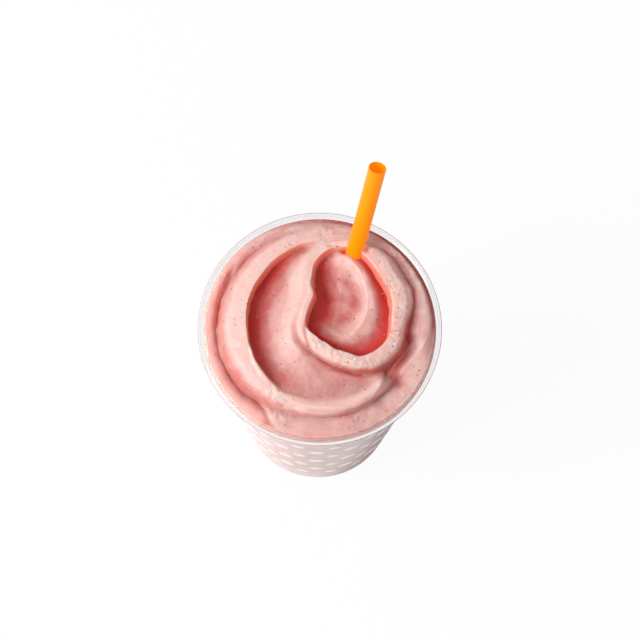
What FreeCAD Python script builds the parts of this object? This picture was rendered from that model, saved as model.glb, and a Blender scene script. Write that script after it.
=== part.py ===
import FreeCAD, Part
import math
import os
import Sketcher

# A clear tumbler filled to the brim with a thick fruit smoothie, whose top is a folded
# swirl that stands above the rim, and a straight drinking straw that leans in it.
# Millimetres, +Z up, +X to the right. The origin is on the cup's axis, on the table.

SIZES = (
    ("CupHeight", 120.0, "from the table to the top of the rolled rim"),
    ("RimRadius", 49.0, "outside of the rolled rim"),
    ("BaseRadius", 32.0, "outside of the wall where it meets the bottom corner"),
    ("CupWall", 0.6, "thickness of the wall, the rolled rim and the floor"),
    ("RollRadius", 1.6, "outside radius of the rolled rim's section"),
    ("NeckDepth", 9.0, "height of the straight neck from its step to the top of the rim"),
    ("NeckStep", 0.9, "how far the neck stands out from the tapered wall"),
    ("NeckSlope", 1.8, "height in which the wall widens to the neck"),
    ("CornerHeight", 2.6, "height of the sloping bottom corner"),
    ("CornerWidth", 2.0, "width of the sloping bottom corner"),
    ("FootWidth", 3.2, "width of the ring that the cup stands on"),
    ("PuntHeight", 2.6, "height of the raised middle of the floor, underneath"),
    ("PuntSlope", 2.4, "width of the slope from the foot to the raised middle"),
    ("FillDrop", 1.2, "how far below the rim the filling meets the wall"),
    ("SwirlHeight", 7.0, "how far the highest fold stands above the rim"),
    ("EyeX", 8.0, "the swirl's eye, right of the cup's axis"),
    ("EyeY", 12.0, "the swirl's eye, behind the cup's axis"),
    ("StrawRadius", 3.5, "outside of the straw"),
    ("StrawWall", 0.3, "thickness of the straw's wall"),
    ("StrawLength", 178.0, "from end to end, cut square"),
    ("StrawInset", 12.85, "from the neck's inside to the straw's axis, level with the rim"),
    ("StrawBearing", 66.7, "direction from the cup's axis to the straw at the rim, degrees"),
    ("StrawFootBearing", 252.0, "direction from the cup's axis to the straw's foot, degrees"),
    ("StrawCornerGap", 2.85, "from the straw's foot to the wall"),
    ("StrawFloorGap", 0.6, "from the straw's foot to the raised middle of the floor"),
)

# The folds of the swirl, from its eye outwards to the wall. For 16 directions, anticlockwise
# from +X, each has its reach, as a percentage of the filling's top radius, and its level,
# as a percentage of the swirl's height, both measured from the eye and from the rim.
FOLDS = (
    ("bowl floor",
     (11, 11, 11, 13, 15, 17, 15, 13, 11, 13, 15, 15, 15, 13, 11, 11),
     (-11,)),
    ("inner fold",
     (26, 26, 28, 32, 36, 37, 29, 23, 19, 25, 31, 33, 34, 31, 29, 28),
     (51, 57, 61, 61, 57, 17, -3, -7, -9, -4, 0, 14, 29, 40, 44, 47)),
    ("foot of the brim",
     (41, 37, 37, 41, 43, 41, 33, 26, 22, 29, 35, 38, 42, 48, 49, 45),
     (0, 7, 17, 31, 43, 29, 7, 0, -4, 0, 4, 9, 14, 11, 4, 0)),
    ("brim",
     (46, 41, 41, 44, 47, 45, 38, 31, 27, 34, 38, 42, 47, 54, 54, 50),
     (93, 86, 74, 64, 63, 69, 80, 86, 86, 83, 86, 97, 100, 100, 100, 97)),
    ("shoulder of the brim",
     (57, 51, 50, 50, 49, 47, 40, 33, 29, 36, 45, 53, 59, 68, 67, 59),
     (77, 71, 60, 57, 60, 66, 79, 84, 84, 81, 80, 83, 83, 80, 74, 74)),
    ("crease round the brim",
     (65, 60, 59, 53, 52, 49, 43, 35, 31, 38, 50, 59, 65, 74, 73, 65),
     (-26, -21, -9, 43, 51, 63, 77, 83, 83, 80, 66, 51, 40, 26, -14, -29)),
    ("edge of the sheet",
     (68, 62, 61, 57, 55, 51, 44, 37, 34, 43, 59, 66, 72, 79, 79, 68),
     (-17, -11, -3, 37, 46, 60, 74, 80, 80, 77, 71, 57, 46, 33, -10, -21)),
    ("valley",
     (70, 64, 63, 59, 57, 53, 56, 63, 74, 83, 92, 94, 83, 81, 83, 72),
     (-9, -4, 3, 31, 43, 54, 40, 14, 0, 0, 17, 43, 40, 33, -9, -11)),
    ("outer fold",
     (74, 67, 65, 61, 59, 56, 62, 70, 80, 90, 98, 101, 93, 87, 91, 79),
     (9, 0, 4, 23, 34, 56, 63, 69, 71, 69, 63, 54, 51, 46, 0, 11)),
    ("groove by the wall",
     (76, 69, 66, 66, 68, 72, 80, 91, 104, 115, 119, 113, 104, 93, 95, 84),
     (-7, 3, 7, 9, 11, 9, -9, -29, -34, -34, -40, -11, -9, -14, -9, -7)),
)
GRID = 50  # spans of the net that the swirl's surface passes through, each way

doc = FreeCAD.newDocument("FruitSmoothie")
sheet = doc.addObject("Spreadsheet::Sheet", "Sizes")
for row, (alias, value, note) in enumerate(SIZES, start=1):
    sheet.set(f"A{row}", note)
    sheet.set(f"B{row}", str(value))
    sheet.setAlias(f"B{row}", alias)
doc.recompute()


def size(alias):
    return float(sheet.get(alias))


def bound(expression):
    """Put the sheet's name before each alias, for use in a document object's expression."""
    words = expression.split(" ")
    names = {alias for alias, value, note in SIZES}
    return " ".join("Sizes." + word if word in names else word for word in words)


def new_body(label):
    body = doc.addObject("PartDesign::Body", label)
    body.Label = label
    return body


def new_sketch(body, name, role):
    sketch = body.newObject("Sketcher::SketchObject", name)
    plane = [item for item in body.Origin.OriginFeatures if item.Role == role][0]
    sketch.AttachmentSupport = [(plane, "")]
    sketch.MapMode = "FlatFace"
    return sketch


def tie(sketch, kind, where, expression):
    """Add a constraint whose value is read from the sheet."""
    value = float(sketch.evalExpression(bound(expression)))
    index = sketch.addConstraint(Sketcher.Constraint(kind, *where, value))
    sketch.setExpression(f"Constraints[{index}]", bound(expression))


def draw_outline(sketch, corners):
    """A closed outline of straight lines, whose corners are given by expressions."""
    points = []
    for across, up in corners:
        x = float(sketch.evalExpression(bound(across)))
        y = float(sketch.evalExpression(bound(up)))
        points.append(FreeCAD.Vector(x, y, 0))
    count = len(points)
    for i in range(count):
        sketch.addGeometry(Part.LineSegment(points[i], points[(i + 1) % count]), False)
    for i in range(count):
        sketch.addConstraint(Sketcher.Constraint("Coincident", i, 2, (i + 1) % count, 1))
    for i, (across, up) in enumerate(corners):
        if across == "0":
            sketch.addConstraint(Sketcher.Constraint("PointOnObject", i, 1, -2))
        else:
            tie(sketch, "DistanceX", (-1, 1, i, 1), across)
        if up == "0":
            sketch.addConstraint(Sketcher.Constraint("PointOnObject", i, 1, -1))
        else:
            tie(sketch, "DistanceY", (-1, 1, i, 1), up)


def draw_roll(sketch):
    """The rolled rim's section: three quarters of a ring, open at the bottom and inside."""
    across = "RimRadius - RollRadius"
    up = "CupHeight - RollRadius"
    centre = FreeCAD.Vector(size("RimRadius") - size("RollRadius"),
                            size("CupHeight") - size("RollRadius"), 0)
    normal = FreeCAD.Vector(0, 0, 1)
    radii = (size("RollRadius"), size("RollRadius") - size("CupWall"))
    start, end = -math.pi / 2, math.pi
    for radius in radii:
        circle = Part.Circle(centre, normal, radius)
        sketch.addGeometry(Part.ArcOfCircle(circle, start, end), False)
    for angle in (start, end):
        ray = FreeCAD.Vector(math.cos(angle), math.sin(angle), 0)
        line = Part.LineSegment(centre + ray * radii[0], centre + ray * radii[1])
        sketch.addGeometry(line, False)
    sketch.addConstraint(Sketcher.Constraint("Coincident", 0, 3, 1, 3))
    sketch.addConstraint(Sketcher.Constraint("Coincident", 0, 1, 2, 1))
    sketch.addConstraint(Sketcher.Constraint("Coincident", 1, 1, 2, 2))
    sketch.addConstraint(Sketcher.Constraint("Coincident", 0, 2, 3, 1))
    sketch.addConstraint(Sketcher.Constraint("Coincident", 1, 2, 3, 2))
    sketch.addConstraint(Sketcher.Constraint("Vertical", 2))
    sketch.addConstraint(Sketcher.Constraint("Horizontal", 3))
    tie(sketch, "DistanceX", (-1, 1, 0, 3), across)
    tie(sketch, "DistanceY", (-1, 1, 0, 3), up)
    tie(sketch, "Radius", (0,), "RollRadius")
    tie(sketch, "Radius", (1,), "RollRadius - CupWall")
    tie(sketch, "DistanceX", (-1, 1, 2, 1), across)
    tie(sketch, "DistanceY", (-1, 1, 3, 1), up)


def revolve(body, sketch, name):
    turned = body.newObject("PartDesign::Revolution", name)
    turned.Profile = sketch
    turned.ReferenceAxis = (sketch, ["V_Axis"])
    turned.Angle = 360
    doc.recompute()
    return turned


# Expressions that the cup and its filling share, in the sheet's names.
NECK_INSIDE = "RimRadius - 2 * RollRadius"
TAPER_INSIDE = "RimRadius - 2 * RollRadius - NeckStep"
STEP_LEVEL = "CupHeight - NeckDepth"
FOOT_OUTSIDE = "BaseRadius - CornerWidth"
FOOT_INSIDE = "BaseRadius - CornerWidth - FootWidth"
PUNT_EDGE = "BaseRadius - CornerWidth - FootWidth - PuntSlope"
INSIDE = (
    ("0", "PuntHeight + CupWall"),
    (PUNT_EDGE, "PuntHeight + CupWall"),
    (FOOT_INSIDE, "CupWall"),
    (FOOT_OUTSIDE + " - 0.3 * CupWall", "CupWall"),
    ("BaseRadius - CupWall", "CornerHeight + 0.3 * CupWall"),
    (TAPER_INSIDE, STEP_LEVEL),
    (NECK_INSIDE, STEP_LEVEL + " + NeckSlope"),
)


def make_cup():
    body = new_body("cup")
    wall = new_sketch(body, "CupWallProfile", "XZ_Plane")
    outside = (
        (NECK_INSIDE, "CupHeight - RollRadius"),
        (NECK_INSIDE + " + CupWall", "CupHeight - RollRadius"),
        (NECK_INSIDE + " + CupWall", STEP_LEVEL + " + NeckSlope"),
        (TAPER_INSIDE + " + CupWall", STEP_LEVEL),
        ("BaseRadius", "CornerHeight"),
        (FOOT_OUTSIDE, "0"),
        (FOOT_INSIDE, "0"),
        (PUNT_EDGE, "PuntHeight"),
        ("0", "PuntHeight"),
    )
    draw_outline(wall, INSIDE + outside)
    shell = revolve(body, wall, "CupShell")
    roll = new_sketch(body, "RolledRimProfile", "XZ_Plane")
    draw_roll(roll)
    rim = revolve(body, roll, "RolledRim")
    if rim.Shape.Volume <= shell.Shape.Volume:
        raise ValueError("the rolled rim added nothing")
    return body


def straw_ends():
    """The axis of the straw: its foot in the bottom corner and its crossing of the rim."""
    level = size("PuntHeight") + size("CupWall") + size("StrawFloorGap") + size("StrawRadius") / 2
    taper_top = size("RimRadius") - 2 * size("RollRadius") - size("NeckStep")
    base = size("BaseRadius") - size("CupWall")
    rise = size("CupHeight") - size("NeckDepth") - size("CornerHeight")
    inside = base + (taper_top - base) * (level - size("CornerHeight")) / rise
    reach = inside - size("StrawRadius") - size("StrawCornerGap")
    bearing = math.radians(size("StrawFootBearing"))
    foot = FreeCAD.Vector(reach * math.cos(bearing), reach * math.sin(bearing), level)
    reach = size("RimRadius") - 2 * size("RollRadius") - size("StrawInset")
    bearing = math.radians(size("StrawBearing"))
    crossing = FreeCAD.Vector(reach * math.cos(bearing), reach * math.sin(bearing),
                              size("CupHeight"))
    return foot, crossing


def make_straw():
    body = new_body("straw")
    ring = new_sketch(body, "StrawSection", "XY_Plane")
    for radius in (size("StrawRadius"), size("StrawRadius") - size("StrawWall")):
        circle = Part.Circle(FreeCAD.Vector(), FreeCAD.Vector(0, 0, 1), radius)
        ring.addGeometry(circle, False)
    ring.addConstraint(Sketcher.Constraint("Coincident", 0, 3, -1, 1))
    ring.addConstraint(Sketcher.Constraint("Coincident", 1, 3, -1, 1))
    tie(ring, "Radius", (0,), "StrawRadius")
    tie(ring, "Radius", (1,), "StrawRadius - StrawWall")
    tube = body.newObject("PartDesign::Pad", "StrawTube")
    tube.Profile = ring
    tube.Length = size("StrawLength")
    tube.setExpression("Length", "Sizes.StrawLength")
    foot, crossing = straw_ends()
    lean = FreeCAD.Rotation(FreeCAD.Vector(0, 0, 1), crossing - foot)
    body.Placement = FreeCAD.Placement(foot, lean)
    doc.recompute()
    return body


def ease(share):
    """A smooth step from 0 to 1, level at both ends."""
    share = min(max(share, 0.0), 1.0)
    return share * share * (3 - 2 * share)


def around(values, angle):
    """A closed smooth curve through values that are evenly spaced round a full turn."""
    count = len(values)
    place = angle / (2 * math.pi) % 1 * count
    i = int(place)
    f = place - i
    before, here, after, beyond = (values[(i + k) % count] for k in (-1, 0, 1, 2))
    leave = (after - before) / 2
    arrive = (beyond - here) / 2
    gap = after - here
    return here + f * (leave + f * (3 * gap - 2 * leave - arrive + f * (leave + arrive - 2 * gap)))


def swirl_level(x, y):
    """Height of the filling's top above the rim, over a point of the cup's mouth."""
    mouth = size("RimRadius") - 2 * size("RollRadius")
    eye_x, eye_y = size("EyeX"), size("EyeY")
    reach = math.hypot(x - eye_x, y - eye_y)
    angle = math.atan2(y - eye_y, x - eye_x)
    along = eye_x * math.cos(angle) + eye_y * math.sin(angle)
    wall = math.sqrt(along ** 2 - eye_x ** 2 - eye_y ** 2 + mouth ** 2) - along
    rings = []
    for name, reaches, levels in FOLDS:
        rings.append((around(reaches, angle) / 100 * mouth,
                      around(levels, angle) / 100 * size("SwirlHeight")))
    rings.append((wall, -size("FillDrop")))
    level = last_level = rings[0][1]
    last_reach = 0.0
    least_gap = mouth / 100
    for ring_reach, ring_level in rings:
        ring_reach = max(ring_reach, last_reach + least_gap)
        level += (ring_level - last_level) * ease((reach - last_reach) / (ring_reach - last_reach))
        last_reach, last_level = ring_reach, ring_level
    return level


def make_smoothie(straw):
    body = new_body("Filling")
    section = new_sketch(body, "FillingProfile", "XZ_Plane")
    above = "CupHeight + 3 * SwirlHeight"
    draw_outline(section, INSIDE + ((NECK_INSIDE, above), ("0", above)))
    revolve(body, section, "FillingSpace")

    half = size("RimRadius")
    top = size("CupHeight")
    step = 2 * half / GRID
    net = []
    for i in range(GRID + 1):
        x = -half + i * step
        ys = [-half + j * step for j in range(GRID + 1)]
        net.append([FreeCAD.Vector(x, y, top + swirl_level(x, y)) for y in ys])
    surface = Part.BSplineSurface()
    surface.interpolate(net)
    block = doc.addObject("Part::Feature", "SwirlBlock")
    depth = FreeCAD.Vector(0, 0, -top - size("SwirlHeight"))
    block.Shape = Part.Solid(Part.Shell(surface.toShape().extrude(depth).Faces))

    full = doc.addObject("Part::Common", "FilledCup")
    full.Base = body
    full.Tool = block
    drink = doc.addObject("Part::Cut", "smoothie")
    drink.Label = "smoothie"
    drink.Base = full
    drink.Tool = straw
    doc.recompute()
    if drink.Shape.Volume >= full.Shape.Volume:
        raise ValueError("the straw cut nothing from the filling")
    return drink


cup = make_cup()
straw = make_straw()
smoothie = make_smoothie(straw)
doc.recompute()

for item in doc.Objects:
    if "Invalid" in item.State or "Error" in item.State:
        raise ValueError(f"{item.Name} did not build: {item.State}")
os.makedirs("parts", exist_ok=True)
for item in (cup, smoothie, straw):
    shape = item.Shape
    if shape.isNull() or not shape.isValid() or len(shape.Solids) != 1:
        raise ValueError(f"{item.Label} is not one whole solid")
for item in (cup, smoothie, straw):
    item.Shape.exportStep(f"parts/{item.Label}.step")
    print(f"{item.Label}: {item.Shape.Volume / 1000:.2f} ml, {item.Shape.BoundBox}")
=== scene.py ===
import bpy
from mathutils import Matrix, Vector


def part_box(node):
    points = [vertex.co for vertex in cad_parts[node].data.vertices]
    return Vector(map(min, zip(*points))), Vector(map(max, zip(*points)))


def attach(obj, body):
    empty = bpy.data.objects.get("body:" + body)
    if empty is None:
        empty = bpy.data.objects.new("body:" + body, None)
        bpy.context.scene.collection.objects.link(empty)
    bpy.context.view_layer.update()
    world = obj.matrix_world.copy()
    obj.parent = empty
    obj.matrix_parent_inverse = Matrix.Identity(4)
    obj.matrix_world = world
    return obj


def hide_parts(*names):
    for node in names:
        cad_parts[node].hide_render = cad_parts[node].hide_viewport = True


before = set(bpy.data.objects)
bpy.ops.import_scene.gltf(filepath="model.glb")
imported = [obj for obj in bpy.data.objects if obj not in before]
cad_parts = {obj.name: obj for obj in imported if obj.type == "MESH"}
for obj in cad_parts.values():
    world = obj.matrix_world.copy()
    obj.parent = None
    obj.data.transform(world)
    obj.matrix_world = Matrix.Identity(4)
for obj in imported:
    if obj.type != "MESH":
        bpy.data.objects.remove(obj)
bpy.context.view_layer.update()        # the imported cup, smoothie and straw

import math
import random

import bpy
import numpy as np
from mathutils import Matrix, Vector, noise

mm = 0.001
leastRadius = 1e-7       # a ring that is to close is shrunk to this before it is merged
cupLow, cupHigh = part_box("cup")
rimHeight = cupHigh.z - cupLow.z
rimRadius = round((cupHigh.y - cupLow.y) / 2, 5)

# what the cup's wall and its filling share
cupForm = {
    "wall": 0.6 * mm,
    "rollRadius": 1.6 * mm,
    "neckDepth": 9.0 * mm,
    "neckStep": 0.9 * mm,
    "neckSlope": 1.8 * mm,
    "baseRadius": 32.0 * mm,
    "cornerHeight": 2.6 * mm,
    "cornerWidth": 2.0 * mm,
    "footWidth": 3.2 * mm,
    "puntHeight": 2.6 * mm,
    "puntSlope": 2.4 * mm,
    "edgeRound": 0.22 * mm,
    "facets": 192,
    "taperSteps": 6,
}
mouthRadius = rimRadius - 2 * cupForm["rollRadius"]
taperRadius = mouthRadius - cupForm["neckStep"]
cornerShift = 0.3 * cupForm["wall"]     # how far the bottom corner's inside lies in from its outside
stepLevel = rimHeight - cupForm["neckDepth"]


def startFresh():  # nothing selected, nothing in edit mode
    if bpy.context.object and bpy.context.object.mode != "OBJECT":
        bpy.ops.object.mode_set(mode="OBJECT")
    bpy.ops.object.select_all(action="DESELECT")


def makeActive(piece):
    startFresh()
    piece.select_set(True)
    bpy.context.view_layer.objects.active = piece


def applyModifier(piece, kind, **settings):
    makeActive(piece)
    modifier = piece.modifiers.new(kind.title(), kind)
    for name, value in settings.items():
        setattr(modifier, name, value)
    bpy.ops.object.modifier_apply(modifier=modifier.name)


def readPoints(piece):
    flat = np.empty(len(piece.data.vertices) * 3)
    piece.data.vertices.foreach_get("co", flat)
    return flat.reshape(-1, 3)


def writePoints(piece, points):
    piece.data.vertices.foreach_set("co", np.ascontiguousarray(points, dtype=float).ravel())
    piece.data.update()


def placeInMesh(piece):  # the object's place goes into its mesh
    piece.data.transform(piece.matrix_basis)
    piece.matrix_basis = Matrix()


def copyShape(pattern):
    copy = pattern.copy()
    copy.data = pattern.data.copy()
    bpy.context.collection.objects.link(copy)
    return copy


def joinPieces(pieces):
    startFresh()
    for piece in pieces:
        piece.select_set(True)
    bpy.context.view_layer.objects.active = pieces[0]
    bpy.ops.object.join()
    return pieces[0]


def closeUp(piece):  # merge doubles and turn every face outwards
    makeActive(piece)
    bpy.ops.object.mode_set(mode="EDIT")
    bpy.ops.mesh.select_all(action="SELECT")
    bpy.ops.mesh.remove_doubles(threshold=0.001 * mm)
    bpy.ops.mesh.normals_make_consistent(inside=False)
    bpy.ops.object.mode_set(mode="OBJECT")


def smoothShade(piece, angle=None):
    makeActive(piece)
    if angle is None:
        bpy.ops.object.shade_smooth()
    else:
        bpy.ops.object.shade_smooth_by_angle(angle=math.radians(angle))


def finishPiece(piece, name, material, replaced=None):
    piece.name = name
    piece.data.name = name
    piece.data.materials.clear()
    piece.data.materials.append(material)
    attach(piece, "root")
    if replaced:
        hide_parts(replaced)
    piece.data.calc_loop_triangles()
    print(f"{name}: {len(piece.data.loop_triangles)} triangles")


def extrudeRing(profile):  # the selected ring goes from point to point of (radius, level)
    radius, level = profile[0]
    for nextRadius, nextLevel in profile[1:]:
        nextRadius = max(nextRadius, leastRadius)
        scale = nextRadius / radius
        bpy.ops.mesh.extrude_edges_move(TRANSFORM_OT_translate={"value": (0, 0, nextLevel - level)})
        bpy.ops.transform.resize(value=(scale, scale, 1), center_override=(0, 0, nextLevel))
        radius, level = nextRadius, nextLevel


def turnProfile(profile, facets):  # a round piece whose section is the profile
    startFresh()
    radius, level = profile[0]
    bpy.ops.mesh.primitive_circle_add(vertices=facets, radius=radius, location=(0, 0, level))
    piece = bpy.context.object
    placeInMesh(piece)
    bpy.ops.object.mode_set(mode="EDIT")
    bpy.ops.mesh.select_all(action="SELECT")
    extrudeRing(profile)
    bpy.ops.object.mode_set(mode="OBJECT")
    return piece


def newMaterial(name):
    material = bpy.data.materials.new(name)
    material.use_nodes = True
    tree = material.node_tree
    return material, tree, tree.nodes["Principled BSDF"]


def addNode(tree, kind, inputs=None, **settings):
    node = tree.nodes.new(kind)
    for name, value in settings.items():
        setattr(node, name, value)
    for name, value in (inputs or {}).items():
        if isinstance(value, bpy.types.NodeSocket):
            tree.links.new(value, node.inputs[name])
        else:
            node.inputs[name].default_value = value
    return node


def addRamp(tree, fac, stops):
    ramp = addNode(tree, "ShaderNodeValToRGB", {"Fac": fac})
    elements = ramp.color_ramp.elements
    for i, (place, color) in enumerate(stops):
        element = elements[i] if i < 2 else elements.new(place)
        element.position = place
        element.color = (*color, 1)
    return ramp.outputs["Color"]


def addMath(tree, operation, first, second):
    return addNode(tree, "ShaderNodeMath", {0: first, 1: second}, operation=operation).outputs[0]


def mixColor(tree, factor, first, second):
    node = addNode(tree, "ShaderNodeMix", data_type="RGBA", clamp_result=True)
    for socket, value in (("Factor_Float", factor), ("A_Color", first), ("B_Color", second)):
        target = next(item for item in node.inputs if item.identifier == socket)
        if isinstance(value, bpy.types.NodeSocket):
            tree.links.new(value, target)
        else:
            target.default_value = value if isinstance(value, float) else (*value[:3], 1)
    return next(item for item in node.outputs if item.identifier == "Result_Color")


def setInputs(shader, values):
    for name, value in values.items():
        shader.inputs[name].default_value = value


def addFade(tree, distance, low, high, strength):  # strength where the distance is low, 0 past high
    return addNode(tree, "ShaderNodeMapRange",
                   {"Value": distance, "From Min": low, "From Max": high,
                    "To Min": strength, "To Max": 0.0}).outputs["Result"]


def makeGrainGroup():  # uneven grain that every finish here uses, each at its own scale
    group = bpy.data.node_groups.new("surfaceGrain", "ShaderNodeTree")
    for name, side, kind in (("Scale", "INPUT", "Float"), ("Stretch", "INPUT", "Vector"),
                             ("Low", "INPUT", "Float"), ("High", "INPUT", "Float"),
                             ("Grain", "OUTPUT", "Float"), ("Value", "OUTPUT", "Float")):
        group.interface.new_socket(name, in_out=side, socket_type="NodeSocket" + kind)
    given = group.nodes.new("NodeGroupInput")
    result = group.nodes.new("NodeGroupOutput")
    place = addNode(group, "ShaderNodeTexCoord")
    stretched = addNode(group, "ShaderNodeVectorMath",
                        {0: place.outputs["Object"], 1: given.outputs["Stretch"]}, operation="MULTIPLY")
    grain = addNode(group, "ShaderNodeTexNoise",
                    {"Vector": stretched.outputs[0], "Scale": given.outputs["Scale"],
                     "Detail": 4.0, "Roughness": 0.6})
    spread = addNode(group, "ShaderNodeMapRange",
                     {"Value": grain.outputs["Fac"], "From Min": 0.25, "From Max": 0.75,
                      "To Min": given.outputs["Low"], "To Max": given.outputs["High"]})
    group.links.new(grain.outputs["Fac"], result.inputs["Grain"])
    group.links.new(spread.outputs["Result"], result.inputs["Value"])
    return group


grainGroup = makeGrainGroup()
evenly = (1, 1, 1)       # a grain with no stretch


def addGrain(tree, scale, low, high, stretch=evenly):  # Value runs from low to high, Grain is plain
    return addNode(tree, "ShaderNodeGroup",
                   {"Scale": scale, "Low": low, "High": high, "Stretch": stretch},
                   node_tree=grainGroup).outputs


def makeGrainyMaterial(name, look):
    # tint, roughness and relief each follow a grain: its scale, its stretch and what it runs between
    material, tree, shader = newMaterial(name)
    scale, stretch, first, second = look["tint"]
    tint = addRamp(tree, addGrain(tree, scale, 0.0, 1.0, stretch)["Value"], ((0.0, first), (1.0, second)))
    tree.links.new(tint, shader.inputs["Base Color"])
    if "roughness" in look:
        scale, stretch, least, most = look["roughness"]
        tree.links.new(addGrain(tree, scale, least, most, stretch)["Value"], shader.inputs["Roughness"])
    if "relief" in look:
        scale, stretch, strength, distance = look["relief"]
        grain = addGrain(tree, scale, 0.0, 1.0, stretch)["Grain"]
        bump = addNode(tree, "ShaderNodeBump", {"Strength": strength, "Distance": distance, "Height": grain})
        tree.links.new(bump.outputs["Normal"], shader.inputs["Normal"])
    setInputs(shader, look.get("shader", {}))
    return material, tree, shader


def mixSurface(tree, factor, first, second):  # the surface that is seen, from two shaders
    mix = addNode(tree, "ShaderNodeMixShader", {0: factor, 1: first.outputs[0], 2: second.outputs[0]})
    tree.links.new(mix.outputs[0], tree.nodes["Material Output"].inputs["Surface"])


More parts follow.
